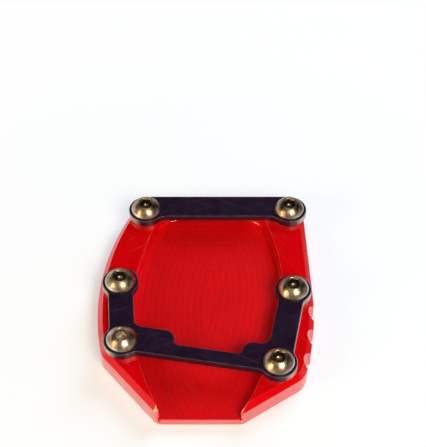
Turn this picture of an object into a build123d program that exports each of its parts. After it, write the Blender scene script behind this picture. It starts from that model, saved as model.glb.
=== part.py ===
"""Kickstand foot enlarger.

A milled base plate has a pocket that is open at the front. A straight clamp across the rear and
a U-shaped clamp across the front overlap the pocket, and six button-head screws pull both clamps
down onto the plate.

Millimetres, +Z up. The origin is the centre of the plate's outline, on its underside. +Y points
to the rear clamp, and the pocket's mouth is on the -Y side.
"""
import os
from math import asin, atan2, cos, degrees, radians, sin, sqrt, tan

from build123d import *

# Base plate
plate_length = 90.8
plate_width = 73.5
plate_thickness = 8.0
top_chamfer = 1.8
bottom_chamfer = 0.25

# Plate outline: flanks are arcs, and lengths along Y are measured from the front edge
left_flank_radius = 95.5
left_flank_crest = 43.65
left_shoulder = 22.75
right_flank_radius = 110.0
right_flank_crest = 44.35
right_flank_taper = 2.4
right_shoulder = 13.85
front_left_inset = 21.2
front_right_inset = 24.8
rear_corner_radius = 6.0
shoulder_radius = 8.0
front_corner_radius = 4.0

# Pocket: its long walls are arcs, and the right one goes on straight, then curves in at the mouth
pocket_depth = 5.0
pocket_left_radius = 96.0
pocket_left_rim = 12.0
pocket_left_crest = 43.35
pocket_right_radius = 84.0
pocket_right_rim = 10.45
pocket_right_crest = 51.7
pocket_right_flare = 19.6
pocket_mouth_radius = 29.0
pocket_mouth_run = 9.4
pocket_rear_rim = 5.2
pocket_corner_radius = 9.0
pocket_overrun = 2.0

# Half-round notches along the right flank
notch_count = 3
notch_radius = 3.3
notch_depth = 1.9
notch_first = 4.2
notch_pitch = 9.9

# Clamps
clamp_thickness = 2.5
clamp_edge_break = 0.35
lobe_radius = 6.2
rear_bar_width = 9.6
rear_bar_margin = 0.4
rear_bar_fillet = 5.0
arm_width = 8.5
bridge_front = 3.8
bridge_rear = 6.5
yoke_fillet = 3.0
relief_left_land = 12.75
relief_right_land = 8.15
relief_depth = 5.3
relief_shoulder_radius = 3.6
relief_floor_radius = 1.6
relief_fillet_share = 0.95

# Button-head screws, M6
screw_diameter = 6.0
head_diameter = 10.5
head_height = 3.3
head_edge = 0.7
head_crown_diameter = 5.8
head_dome_radius = 8.5
socket_width = 4.0
socket_depth = 2.1
screw_end_gap = 0.5
thread_clearance = 0.1
clamp_hole_clearance = 0.3

# Screw places: inset from the flank beside the screw, and distance from the front edge
middle_left_inset = 7.25
middle_left_reach = 50.75
front_left_screw_inset = 7.65
front_left_screw_reach = 26.15
middle_right_inset = 6.9
middle_right_reach = 47.55
front_right_screw_inset = 9.6
front_right_screw_reach = 17.25
rear_left_inset = 6.15
rear_right_inset = 5.35

# Places worked out from the sizes above
side = plate_width / 2
rear = plate_length / 2
front = -rear
clamp_top = plate_thickness + clamp_thickness
pocket_floor = plate_thickness - pocket_depth
rear_screw_y = rear - rear_bar_margin - lobe_radius
thread_hole_radius = screw_diameter / 2 + thread_clearance


def arc_x(centre_x, centre_y, radius, y):
    """X of the circle at height y, on the side that radius points to: a negative one is the left."""
    reach = sqrt(radius**2 - (y - centre_y) ** 2)
    return centre_x + (reach if radius > 0 else -reach)


# Corners and crests of the plate's outline
left_crest_y = front + left_flank_crest
left_centre_x = -side + left_flank_radius
left_shoulder_y = front + left_shoulder
right_crest_y = front + right_flank_crest
right_centre_x = side - right_flank_radius
right_shoulder_y = front + right_shoulder
taper_start_y = right_crest_y + right_flank_radius * sin(radians(right_flank_taper))
taper_start_x = arc_x(right_centre_x, right_crest_y, right_flank_radius, taper_start_y)


def left_flank(y):
    """X of the plate's left flank at y."""
    return arc_x(left_centre_x, left_crest_y, -left_flank_radius, y)


def right_flank(y):
    """X of the plate's right flank at y: an arc, and behind it the straight taper."""
    if y < taper_start_y:
        return arc_x(right_centre_x, right_crest_y, right_flank_radius, y)
    return taper_start_x - (y - taper_start_y) * tan(radians(right_flank_taper))


rear_left_corner = (left_flank(rear), rear)
left_corner = (left_flank(left_shoulder_y), left_shoulder_y)
right_corner = (right_flank(right_shoulder_y), right_shoulder_y)
rear_right_corner = (right_flank(rear), rear)

# Screw places
middle_left_y = front + middle_left_reach
front_left_y = front + front_left_screw_reach
front_right_y = front + front_right_screw_reach
middle_right_y = front + middle_right_reach
rear_left = Vector(left_flank(rear_screw_y) + rear_left_inset, rear_screw_y)
rear_right = Vector(right_flank(rear_screw_y) - rear_right_inset, rear_screw_y)
middle_left = Vector(left_flank(middle_left_y) + middle_left_inset, middle_left_y)
front_left = Vector(left_flank(front_left_y) + front_left_screw_inset, front_left_y)
front_right = Vector(right_flank(front_right_y) - front_right_screw_inset, front_right_y)
middle_right = Vector(right_flank(middle_right_y) - middle_right_inset, middle_right_y)
rear_screws = [rear_left, rear_right]
front_screws = [middle_left, front_left, front_right, middle_right]
screws = rear_screws + front_screws

# Corners and crests of the pocket, whose mouth is cut past the front edge
mouth_y = front - pocket_overrun
pocket_rear_y = rear - pocket_rear_rim
pocket_left_middle = (-side + pocket_left_rim, front + pocket_left_crest)
pocket_left_centre = (pocket_left_middle[0] + pocket_left_radius, pocket_left_middle[1])
pocket_left_mouth = (arc_x(*pocket_left_centre, -pocket_left_radius, mouth_y), mouth_y)
pocket_left_rear = (arc_x(*pocket_left_centre, -pocket_left_radius, pocket_rear_y), pocket_rear_y)
pocket_right_middle = (side - pocket_right_rim, front + pocket_right_crest)
pocket_right_centre = (pocket_right_middle[0] - pocket_right_radius, pocket_right_middle[1])
pocket_right_rear = (arc_x(*pocket_right_centre, pocket_right_radius, pocket_rear_y), pocket_rear_y)
flare_start_y = pocket_right_centre[1] - pocket_right_radius * sin(radians(pocket_right_flare))
flare_start = (arc_x(*pocket_right_centre, pocket_right_radius, flare_start_y), flare_start_y)
curve_start_y = front + pocket_mouth_run
flare_run = (flare_start_y - curve_start_y) * tan(radians(pocket_right_flare))
curve_start = (flare_start[0] - flare_run, curve_start_y)
mouth_centre = (
    curve_start[0] - pocket_mouth_radius * cos(radians(pocket_right_flare)),
    curve_start[1] + pocket_mouth_radius * sin(radians(pocket_right_flare)),
)
pocket_right_mouth = (arc_x(*mouth_centre, pocket_mouth_radius, mouth_y), mouth_y)


def strip(start, end, right_reach, left_reach):
    """Corners of a straight strip along start-end that reaches to the right and left of that line."""
    along = (end - start).normalized()
    across = Vector(-along.Y, along.X)
    return [
        start - across * right_reach,
        end - across * right_reach,
        end + across * left_reach,
        start + across * left_reach,
    ]


with BuildPart() as base_plate:
    with BuildSketch() as outline:
        with BuildLine():
            ThreePointArc(rear_left_corner, (-side, left_crest_y), left_corner)
            Polyline(
                left_corner,
                (-side + front_left_inset, front),
                (side - front_right_inset, front),
                right_corner,
            )
            ThreePointArc(right_corner, (side, right_crest_y), (taper_start_x, taper_start_y))
            Polyline((taper_start_x, taper_start_y), rear_right_corner, rear_left_corner)
        make_face()
        fillet(outline.vertices().group_by(Axis.Y)[-1], rear_corner_radius)
        fillet(outline.vertices().group_by(Axis.Y)[0], front_corner_radius)
        for corner in (left_corner, right_corner):
            fillet(outline.vertices().sort_by_distance(corner)[0], shoulder_radius)
    extrude(amount=plate_thickness)
    chamfer(base_plate.faces().sort_by(Axis.Z)[-1].edges(), top_chamfer)
    chamfer(base_plate.faces().sort_by(Axis.Z)[0].edges(), bottom_chamfer)

    with BuildSketch(Plane.XY.offset(pocket_floor)) as pocket:
        with BuildLine():
            ThreePointArc(pocket_left_mouth, pocket_left_middle, pocket_left_rear)
            Line(pocket_left_rear, pocket_right_rear)
            ThreePointArc(pocket_right_rear, pocket_right_middle, flare_start)
            Line(flare_start, curve_start)
            RadiusArc(curve_start, pocket_right_mouth, pocket_mouth_radius)
            Line(pocket_right_mouth, pocket_left_mouth)
        make_face()
        fillet(pocket.vertices().group_by(Axis.Y)[-1], pocket_corner_radius)
    extrude(amount=pocket_depth, mode=Mode.SUBTRACT)

    # Notches sit on the right flank's arc, from its crest towards the front
    first_angle = degrees(asin(notch_first / right_flank_radius))
    pitch_angle = degrees(notch_pitch / right_flank_radius)
    with BuildSketch():
        with Locations((right_centre_x, right_crest_y)):
            with PolarLocations(
                right_flank_radius + notch_radius - notch_depth,
                notch_count,
                -first_angle - (notch_count - 1) * pitch_angle,
                notch_count * pitch_angle,
            ):
                Circle(notch_radius)
    extrude(amount=plate_thickness, mode=Mode.SUBTRACT)

    with Locations(*[(place.X, place.Y, plate_thickness) for place in screws]):
        Hole(thread_hole_radius)
base_plate.part.label = "base_plate"

with BuildPart() as rear_clamp:
    with BuildSketch(Plane.XY.offset(plate_thickness)) as bar:
        with Locations(*rear_screws):
            Circle(lobe_radius)
        with Locations((rear_left.X, rear_screw_y + lobe_radius)):
            bar_length = rear_right.X - rear_left.X
            Rectangle(bar_length, rear_bar_width, align=(Align.MIN, Align.MAX))
        fillet(bar.vertices().group_by(Axis.Y)[0], rear_bar_fillet)
        with Locations(*rear_screws):
            Circle(screw_diameter / 2 + clamp_hole_clearance, mode=Mode.SUBTRACT)
    extrude(amount=clamp_thickness)
    chamfer(rear_clamp.faces().sort_by(Axis.Z)[-1].outer_wire().edges(), clamp_edge_break)
rear_clamp.part.label = "rear_clamp"

with BuildPart() as front_clamp:
    with BuildSketch(Plane.XY.offset(plate_thickness)) as yoke:
        for start, end in ((middle_left, front_left), (front_right, middle_right)):
            Polygon(*strip(start, end, arm_width / 2, arm_width / 2), align=None)
        Polygon(*strip(front_left, front_right, bridge_front, bridge_rear), align=None)
        with Locations(*front_screws):
            Circle(lobe_radius)
        fillet(yoke.vertices(), yoke_fillet)

        # The relief narrows the bridge between two lands, which are measured from the arms
        bridge = front_right - front_left
        along = bridge.normalized()
        relief_start = arm_width / 2 + relief_left_land
        relief_end = bridge.length - arm_width / 2 - relief_right_land
        relief_floor = strip(front_left, front_right, 0, bridge_rear - relief_depth)[-1]
        relief_middle = relief_floor + along * ((relief_start + relief_end) / 2)
        bridge_angle = degrees(atan2(along.Y, along.X))
        with Locations(Location((relief_middle.X, relief_middle.Y, 0), (0, 0, bridge_angle))):
            Rectangle(
                relief_end - relief_start,
                2 * relief_depth,
                align=(Align.CENTER, Align.MIN),
                mode=Mode.SUBTRACT,
            )
        relief_corners = yoke.vertices().sort_by_distance((relief_middle.X, relief_middle.Y))
        shoulder_round = min(relief_shoulder_radius, relief_fillet_share * relief_depth)
        floor_round = min(relief_floor_radius, relief_fillet_share * (relief_depth - shoulder_round))
        fillet(relief_corners[2:4], shoulder_round)
        fillet(relief_corners[:2], floor_round)
        with Locations(*front_screws):
            Circle(screw_diameter / 2 + clamp_hole_clearance, mode=Mode.SUBTRACT)
    extrude(amount=clamp_thickness)
    chamfer(front_clamp.faces().sort_by(Axis.Z)[-1].outer_wire().edges(), clamp_edge_break)
front_clamp.part.label = "front_clamp"

# One screw, with the underside of its head at the origin
with BuildPart() as screw:
    head_radius = head_diameter / 2
    crown_radius = head_crown_diameter / 2
    shank_radius = screw_diameter / 2
    shank_end = screw_end_gap - clamp_top
    with BuildSketch(Plane.XZ):
        with BuildLine():
            Polyline(
                (crown_radius, head_height),
                (0, head_height),
                (0, shank_end),
                (shank_radius, shank_end),
                (shank_radius, 0),
                (head_radius, 0),
                (head_radius, head_edge),
            )
            RadiusArc((head_radius, head_edge), (crown_radius, head_height), -head_dome_radius)
        make_face()
    revolve(axis=Axis.Z)
    with BuildSketch(Plane.XY.offset(head_height)):
        RegularPolygon(socket_width / 2, 6, major_radius=False)
    extrude(amount=-socket_depth, mode=Mode.SUBTRACT)

with BuildPart() as clamp_screws:
    with Locations(*[(place.X, place.Y, clamp_top) for place in screws]):
        add(screw.part)
clamp_screws.part.label = "clamp_screws"

os.makedirs("parts", exist_ok=True)
export_step(base_plate.part, "parts/base_plate.step")
export_step(rear_clamp.part, "parts/rear_clamp.step")
export_step(front_clamp.part, "parts/front_clamp.step")
export_step(clamp_screws.part, "parts/clamp_screws.step")
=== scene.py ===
# %% [markdown]
# # Kickstand foot enlarger
# A flat red plate that spreads a parked motorbike's weight, so that it doesn't sink into soft ground. Two
# black clamps and six button-head screws hold it on. Nothing moves once it is fitted.
#
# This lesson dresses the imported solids. Every visible piece is computed with numpy: a path in plan, and a
# profile that is carried along it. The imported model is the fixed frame, in metres, and comes first.

import bmesh
import bpy
import numpy as np
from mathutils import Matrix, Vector
from mathutils.geometry import delaunay_2d_cdt


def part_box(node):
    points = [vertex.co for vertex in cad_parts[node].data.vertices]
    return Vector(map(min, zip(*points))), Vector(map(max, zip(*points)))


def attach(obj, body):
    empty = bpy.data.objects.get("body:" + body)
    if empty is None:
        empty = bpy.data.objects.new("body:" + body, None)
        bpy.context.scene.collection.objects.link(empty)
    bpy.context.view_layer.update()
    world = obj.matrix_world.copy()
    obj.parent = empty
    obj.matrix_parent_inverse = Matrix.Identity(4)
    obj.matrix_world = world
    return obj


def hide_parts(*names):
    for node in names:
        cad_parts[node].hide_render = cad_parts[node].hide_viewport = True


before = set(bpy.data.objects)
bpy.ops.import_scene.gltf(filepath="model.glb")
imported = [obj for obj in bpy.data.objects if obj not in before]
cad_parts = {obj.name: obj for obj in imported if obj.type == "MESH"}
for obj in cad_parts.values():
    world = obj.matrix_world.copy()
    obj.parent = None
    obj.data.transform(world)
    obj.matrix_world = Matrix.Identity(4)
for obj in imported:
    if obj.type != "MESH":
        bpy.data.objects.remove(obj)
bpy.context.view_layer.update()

MM = 0.001
print("nodes:", sorted(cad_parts))

# %% [markdown]
# ## Heights
# The solids already say where every layer lies, so heights and outer limits are read from the frame's
# boxes. Only the sizes in plan are repeated here, in millimetres, because the frame holds triangles and not
# the arcs that they came from.

# %% Heights of the layers
plate_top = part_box("base_plate")[1].z / MM
clamp_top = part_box("rear_clamp")[1].z / MM
head_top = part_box("clamp_screws")[1].z / MM
shank_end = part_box("clamp_screws")[0].z / MM
left, front = (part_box("base_plate")[0][k] / MM for k in (0, 1))
right, rear = (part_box("base_plate")[1][k] / MM for k in (0, 1))
pocket_depth = 5.0
pocket_floor = plate_top - pocket_depth
print("plate", plate_top, "clamps", clamp_top, "heads", head_top)

# %% [markdown]
# ## Paths in plan
# A milled outline is a chain of straight cuts and arcs, with a radius where two of them meet. A path here
# is the same: runs in order, with the stock on the left, and a rounding at each corner. The centre of a
# rounding is the point that is one radius away from both runs, so two equations with two unknowns give it,
# and a few Newton steps solve them for any mix of lines and arcs. Bezier curves drawn by hand would be
# quicker, but no true arcs.


# %% Straight runs
class Line:
    """Straight run from one point towards another: start + heading * t."""

    def __init__(self, start, end):
        self.start = np.array(start, float)
        heading = np.array(end, float) - self.start
        self.heading = heading / np.hypot(*heading)
        self.left = np.array([-self.heading[1], self.heading[0]])

    def side(self, point):
        """Distance to the left of the run, and the direction in which it grows."""
        return (point - self.start) @ self.left, self.left

    def nearest(self, point):
        """Nearest point on the run."""
        return point - self.side(point)[0] * self.left

    def sample(self, start, end, spacing):
        """Even points from start to end, with the left direction at each. A flat wall needs only its ends."""
        count = int(np.ceil(np.hypot(*(end - start)) / spacing[1])) + 1
        points = start + np.linspace(0, 1, max(count, 2))[:, None] * (end - start)
        return points, np.broadcast_to(self.left, points.shape)


print("a run along +X has its left at", Line((0, 0), (1, 0)).left)


# %% Arcs
class Arc:
    """Run on a circle: centre + |radius| * (cos, sin). A negative radius turns right, round air."""

    largest_turn = np.radians(9)

    def __init__(self, centre, radius):
        self.centre = np.array(centre, float)
        self.radius = abs(radius)
        self.turn = np.sign(radius)

    def at(self, angle, radius=None):
        """Points at some angles, on this circle or on one round the same centre with another radius."""
        radius = self.radius if radius is None else radius
        return self.centre + radius * np.stack([np.cos(angle), np.sin(angle)], -1)

    def side(self, point):
        """Distance to the left of the run, and the direction in which it grows."""
        spoke = point - self.centre
        length = np.hypot(*spoke)
        return self.turn * (self.radius - length), -self.turn * spoke / length

    def nearest(self, point):
        """Nearest point on the run."""
        spoke = point - self.centre
        return self.centre + self.radius * spoke / np.hypot(*spoke)

    def sample(self, start, end, spacing):
        """Even points from start to end, with the left direction at each."""
        first, last = (np.arctan2(*(p - self.centre)[::-1]) for p in (start, end))
        sweep = self.turn * ((self.turn * (last - first)) % (2 * np.pi))
        count = max(abs(sweep) * self.radius / spacing[0], abs(sweep) / self.largest_turn)
        angle = first + np.linspace(0, 1, int(np.ceil(count)) + 1) * sweep
        spoke = np.stack([np.cos(angle), np.sin(angle)], 1)
        return self.centre + self.radius * spoke, -self.turn * spoke


print("arc points are at most", np.degrees(Arc.largest_turn), "degrees apart")


# %% Roundings and closed paths
def corner(first, second, radius, near, steps=40):
    """Rounding between two runs: the point whose distance to both is the radius, found by Newton's method.

    A positive radius rounds a corner of the stock, a negative one fills an inner corner, and None takes the
    given point as a smooth joint. Returns where the rounding starts and ends, and its arc.
    """
    centre = np.array(near, float)
    if radius is None:
        return centre, centre, None
    for _ in range(steps):
        reach, slope = zip(first.side(centre), second.side(centre))
        centre = centre - np.linalg.solve(np.array(slope), np.array(reach) - radius)
    return first.nearest(centre), second.nearest(centre), Arc(centre, radius)


def walk(runs, corners, spacing=(0.8, np.inf)):
    """Closed path along the runs and their roundings: its points, its left directions and its joints.

    corners[k] is (radius, a point near the corner) between runs k and k + 1. spacing is the distance between
    points on arcs and on lines.
    """
    joints = [corner(a, b, *c) for a, b, c in zip(runs, runs[1:] + runs[:1], corners)]
    points, lefts = [], []
    for k, run in enumerate(runs):
        start, end, rounding = joints[k]
        pieces = [run.sample(joints[k - 1][1], start, spacing)]
        if rounding is not None:
            pieces.append(rounding.sample(start, end, spacing))
        points += [p[:-1] for p, _ in pieces]
        lefts += [n[:-1] for _, n in pieces]
    return np.concatenate(points), np.concatenate(lefts), joints


square_corner = corner(Line((0, 0), (9, 0)), Line((9, 0), (9, 9)), 2.0, (7, 1))
print("a square corner with 2 mm is round from", square_corner[0], "to", square_corner[1])

# %% [markdown]
# ## Surfaces from a path
# A wall with its edges is a profile carried along a path: each row is the whole path at one inset and
# height. A flat face is the area inside such a row, cut into triangles. All patches of a piece are welded
# at the end, so that it is one closed shell.
#
# The vertices also carry values for the finish, from 0 to 1. One is high along rounded edges, where they are
# rubbed, and on the screws' rims, mostly on the side towards the white floor, where it is also a painted
# reflection of that floor. One is a pale painted reflection of the white floor on the walls; on the clamps'
# outer walls it is also metal that has lost its black. One is dirt and painted shade deep in a socket, and
# one is dust where dirt has settled. A fifth value, cut, is in millimetres: how far a tool has moved in from
# a wall or along an outline. Painting them by hand would take longer, and they wouldn't follow a change of
# shape.

# %% Rows and patches
VERTEX_VALUES = ("worn", "cut", "grime", "dust", "bare")


def ring(centre, radius, count=48):
    """Circle of even points, anticlockwise: centre + radius * (cos, sin)."""
    angle = np.linspace(0, 2 * np.pi, count, endpoint=False)
    spoke = np.stack([np.cos(angle), np.sin(angle)], 1)
    return np.asarray(centre) + radius * spoke


def lifted(points, height):
    """Plan points with a height each, or one height for all."""
    height = np.broadcast_to(height, points.shape[:1])
    return np.concatenate([points, height[:, None]], 1)


def patch(points, faces, flat, finish=0, **values):
    """Part of a surface: its points, its faces and their finish, and the values of each vertex.

    flat is 1 for filled faces, which set the shading at the vertices that they share with roundings.
    """
    count = len(points)
    told = {name: np.broadcast_to(values.get(name, 0.0), count) for name in VERTEX_VALUES}
    return dict(points=points, faces=faces, flat=[flat] * len(faces), finish=[finish] * len(faces), **told)


def carried(rows, closed=True, **values):
    """Patch of quads between rows of shape (rows, points, 3). A value is one number a row or a vertex."""
    rows = np.asarray(rows, float)
    index = np.arange(rows.shape[0] * rows.shape[1]).reshape(rows.shape[:2])
    if closed:
        index = np.concatenate([index, index[:, :1]], 1)
    quads = np.stack([index[:-1, :-1], index[:-1, 1:], index[1:, 1:], index[1:, :-1]], -1)
    whole = {name: np.asarray(value, float).reshape(rows.shape[0], -1) for name, value in values.items()}
    told = {name: np.broadcast_to(value, rows.shape[:2]).ravel() for name, value in whole.items()}
    return patch(rows.reshape(-1, 3), quads.reshape(-1, 4), 0, **told)


print("each vertex carries", VERTEX_VALUES)


# %% Rounded edges
def rounded_edge(points, lefts, height, rise, reach, steps=4):
    """Rows of a rounded edge between a wall and the face above it, and the worn value of each row.

    Each column is the quadratic curve from the wall below the edge, by way of the edge, to the face inside.
    rise maps plan points to the face's height, so that the last row lies on the face.
    """
    inner = points + lefts * reach[:, None]
    below = lifted(points, height - reach)
    edge = lifted(points, height)
    face = lifted(inner, rise(inner))
    t = np.linspace(0, 1, steps + 1)[:, None, None]
    rows = (1 - t) ** 2 * below + 2 * t * (1 - t) * edge + t**2 * face
    return rows, np.sin(np.pi * t[:, 0, 0])


# %% Inside a loop, and how far from it
def inside(points, loop):
    """True for points inside a closed loop: a ray to the right crosses it an odd number of times."""
    a, b = loop, np.roll(loop, -1, 0)
    x, y = points[:, :1], points[:, 1:]
    spans = (a[:, 1] > y) != (b[:, 1] > y)
    rise = np.where(b[:, 1] == a[:, 1], 1.0, b[:, 1] - a[:, 1])
    crossing = a[:, 0] + (y - a[:, 1]) / rise * (b[:, 0] - a[:, 0])
    return (spans & (x < crossing)).sum(1) % 2 == 1


def distance_to(points, loop):
    """Distance from each point to a closed loop: the least distance to any of its straight pieces."""
    span = np.roll(loop, -1, 0) - loop
    share = ((points[:, None] - loop) * span).sum(-1) / (span**2).sum(-1)
    nearest = loop + np.clip(share, 0, 1)[..., None] * span
    return np.sqrt(((points[:, None] - nearest) ** 2).sum(-1)).min(1)


# %% Flat faces
def level(height):
    """Height function of a level face."""
    return lambda points: np.full(len(points), height)


only_inside, same_point = 1, 1e-7


def filled(outer, height, holes=(), points=None, down=False, cut=None, finish=0):
    """Patch inside a loop and outside its holes: triangles of a constrained Delaunay net, lifted to a height.

    height maps plan points to heights, points are extra plan points inside, down turns it to the ground,
    and cut gives each point a value.
    """
    loops = [outer, *holes]
    plan = np.concatenate(loops + ([] if points is None else [points]))
    starts = np.cumsum([0] + [len(loop) for loop in loops])
    rims = [np.stack([np.arange(len(r)), np.roll(np.arange(len(r)), -1)], 1) for r in loops]
    rims = np.concatenate([r + start for r, start in zip(rims, starts)])
    net = delaunay_2d_cdt([Vector(p) for p in plan], rims.tolist(), [], only_inside, same_point)
    triangles = np.array([given[0] for given in net[3]])[np.array(net[2])]
    middle = plan[triangles].mean(1)
    in_hole = [inside(middle, hole) for hole in holes]
    triangles = triangles[~np.any(in_hole, 0)] if in_hole else triangles
    a, b, c = (plan[triangles[:, k]] for k in range(3))
    area = (b - a)[:, 0] * (c - a)[:, 1] - (b - a)[:, 1] * (c - a)[:, 0]
    flip = (area < 0) != down
    triangles[flip] = triangles[flip][:, ::-1]
    cut = 0.0 if cut is None else cut(plan)
    return patch(lifted(plan, height(plan)), triangles, 1, finish, cut=cut)


# %% [markdown]
# ## Welding
# Patches meet along shared rows, so merging their doubles closes the shell. The shading then has to stay
# flat right up to each rounded edge. A Weighted Normal modifier would do nearly that. Here each vertex
# takes its direction from the flat faces that meet there, so the roundings alone bend the light.

# %% Welding
weld_gap = 2e-6


def weld(mesh):
    """Merges the patches' shared edges. Returns how many edges stay open, and the volume."""
    work = bmesh.new()
    work.from_mesh(mesh)
    bmesh.ops.remove_doubles(work, verts=work.verts, dist=weld_gap)
    bmesh.ops.delete(work, geom=[v for v in work.verts if not v.link_faces], context="VERTS")
    open_edges = sum(not e.is_manifold for e in work.edges)
    volume = work.calc_volume(signed=True)
    work.to_mesh(mesh)
    work.free()
    return open_edges, volume


# %% Directions for the shading
no_area = 1e-14


def read(collection, name, kind, width=1):
    """One property of every element of a mesh, as an array."""
    values = np.zeros(len(collection) * width, kind)
    collection.foreach_get(name, values)
    return values.reshape(-1, width) if width > 1 else values


def even_normals(mesh):
    """Vertex directions: the mean of the flat faces that meet there, by area, or else of all faces."""
    owner = np.repeat(np.arange(len(mesh.polygons)), read(mesh.polygons, "loop_total", int))
    vertex = read(mesh.loops, "vertex_index", int)
    area = read(mesh.polygons, "area", float)[:, None] * read(mesh.polygons, "normal", float, 3)
    flat = read(mesh.attributes["flat"].data, "value", int)[:, None]
    total = np.zeros((2, len(mesh.vertices), 3))
    np.add.at(total[0], vertex, area[owner])
    np.add.at(total[1], vertex, (area * flat)[owner])
    size = np.linalg.norm(total, axis=-1, keepdims=True)
    unit = total / np.maximum(size, no_area)
    return np.where(size[1] > no_area, unit[1], unit[0])


# %% One closed piece
def welded(name, patches, replaces, crisp=None):
    """Joins patches into one closed mesh in metres, and puts it on the body in place of its CAD node.

    crisp is the angle in degrees above which an edge is sharp. Without it the flat faces set the shading.
    """
    offsets = np.cumsum([0] + [len(p["points"]) for p in patches])
    faces = [f for p, start in zip(patches, offsets) for f in (p["faces"] + start).tolist()]
    mesh = bpy.data.meshes.new(name)
    mesh.from_pydata(np.concatenate([p["points"] for p in patches]) * MM, [], faces)
    layers = [(v, "FLOAT", "POINT") for v in VERTEX_VALUES] + [(v, "INT", "FACE") for v in ("flat", "finish")]
    for value, kind, domain in layers:
        layer = mesh.attributes.new(value, kind, domain)
        layer.data.foreach_set("value", np.concatenate([p[value] for p in patches]))
    open_edges, volume = weld(mesh)
    mesh.polygons.foreach_set("use_smooth", np.ones(len(mesh.polygons), bool))
    mesh.polygons.foreach_set("material_index", read(mesh.attributes["finish"].data, "value", int))
    if crisp is None:
        mesh.normals_split_custom_set_from_vertices(even_normals(mesh))
    else:
        mesh.set_sharp_from_angle(angle=np.radians(crisp))
    piece = bpy.data.objects.new(name, mesh)
    bpy.context.scene.collection.objects.link(piece)
    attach(piece, "root")
    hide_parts(replaces)
    print(name, len(mesh.polygons), "faces,", open_edges, "open edges,", round(volume / MM**3, 1), "mm3")
    return piece


# %% [markdown]
# ## Plate outline
# The real plate is cut from flat bar. Its flanks are long arcs, its front corners are cut off, and three
# half-round notches decorate the right flank. A wide chamfer runs round the top. It is cut before the
# notches, so its distance is measured from the outline without them. A curve could be traced by eye, but
# computed arcs keep their true radii when a size changes.

# %% Outline of the plate without notches
left_radius, right_radius = 95.5, 110.0
left_crest, right_crest = front + 43.65, front + 44.35
left_flank = Arc((left + left_radius, left_crest), left_radius)
right_flank = Arc((right - right_radius, right_crest), right_radius)
taper = np.radians(2.4)
taper_start = right_flank.at(taper)
taper_line = Line(taper_start, taper_start + [-np.sin(taper), np.cos(taper)])
rear_line = Line((right, rear), (left, rear))
front_line = Line((left, front), (right, front))


def at_height(arc, height, way):
    """Point of an arc at a height in plan, on its right (way 1) or its left (way -1), by Pythagoras."""
    rise = height - arc.centre[1]
    return arc.centre + [way * np.sqrt(arc.radius**2 - rise**2), rise]


left_cut_size, right_cut_size = (21.2, 22.75), (24.8, 13.85)
left_corner = at_height(left_flank, front + left_cut_size[1], -1)
right_corner = at_height(right_flank, front + right_cut_size[1], 1)
left_cut = Line(left_corner, (left + left_cut_size[0], front))
right_cut = Line((right - right_cut_size[0], front), right_corner)

rear_round, flank_round, nose_round = 6.0, 8.0, 4.0
plain_runs = [rear_line, left_flank, left_cut, front_line, right_cut, right_flank, taper_line]
plain_corners = [
    (rear_round, (-25, 40)),
    (flank_round, left_corner + [6, 2]),
    (nose_round, (left + 22, front + 4)),
    (nose_round, (right - 25, front + 4)),
    (flank_round, right_corner + [-6, 3]),
    (None, taper_start),
    (rear_round, (28, 40)),
]
plain_outline, plain_lefts, _ = walk(plain_runs, plain_corners, spacing=(0.6, 0.6))
print("outline", len(plain_outline), "points", plain_outline.min(0), plain_outline.max(0))

# %% Height of the chamfered top
top_chamfer = 1.8
crease = 0.07


def top_height(points):
    """Plate top: level inside, falling at 45 degrees within the chamfer, with a parabola between the two."""
    fall = top_chamfer - distance_to(points, plain_outline)
    blend = (np.clip(fall + crease, 0, 2 * crease)) ** 2 / (4 * crease)
    return plate_top - np.where(fall > crease, fall, blend)


print("the chamfer falls to", top_height(plain_outline).min(), "mm at the outline")

# %% [markdown]
# ## Pocket and notches
# An end mill opens the pocket from the front edge. Its walls are arcs, and the right one runs straight and
# then curls in at the mouth. The rim of the plate is one closed path: round the outside with its notches,
# then into the pocket by the left of the mouth and out again by the right. A boolean cut would open the
# pocket too, but leaves no even row of points to round the edge along.

# %% Walls of the pocket
left_land, right_land, rear_land = 12.0, 10.45, 5.2
left_wall_radius, right_wall_radius, curl_radius = 96.0, 84.0, 29.0
left_wall_crest, right_wall_crest, curl_rise = 43.35, 51.7, 9.4
pocket_left = Arc((left + left_land + left_wall_radius, front + left_wall_crest), -left_wall_radius)
pocket_right = Arc((right - right_land - right_wall_radius, front + right_wall_crest), -right_wall_radius)
pocket_rear = Line((left, rear - rear_land), (right, rear - rear_land))
flare = np.radians(19.6)
flare_start = pocket_right.at(-flare)
flare_fall = flare_start[1] - (front + curl_rise)
curl_start = flare_start - flare_fall * np.array([np.tan(flare), 1])
flare_line = Line(flare_start, curl_start)
curl = Arc(curl_start - curl_radius * np.array([np.cos(flare), -np.sin(flare)]), -curl_radius)
print("the right wall flares at", flare_start, "and curls in at", curl_start)

# %% Notches in the right flank
notch_count, notch_pitch, first_notch = 3, 9.9, 4.2
notch_radius, notch_depth, notch_half = 3.3, 1.9, 2.95
lip = 0.3
notch_angle = -np.arcsin(first_notch / right_radius) - np.arange(notch_count) * notch_pitch / right_radius
notch_centres = right_flank.at(notch_angle, right_radius + notch_radius - notch_depth)
flank_runs, flank_corners = [], []
for centre, angle in zip(notch_centres[::-1], notch_angle[::-1]):
    ends = right_flank.at(angle + np.arcsin(notch_half / right_radius) * np.array([-1, 1]))
    flank_runs += [right_flank, Arc(centre, -notch_radius)]
    flank_corners += [(lip, ends[0] + [-0.2, -0.2]), (lip, ends[1] + [-0.2, 0.2])]
print("notches at", notch_centres)

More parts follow.
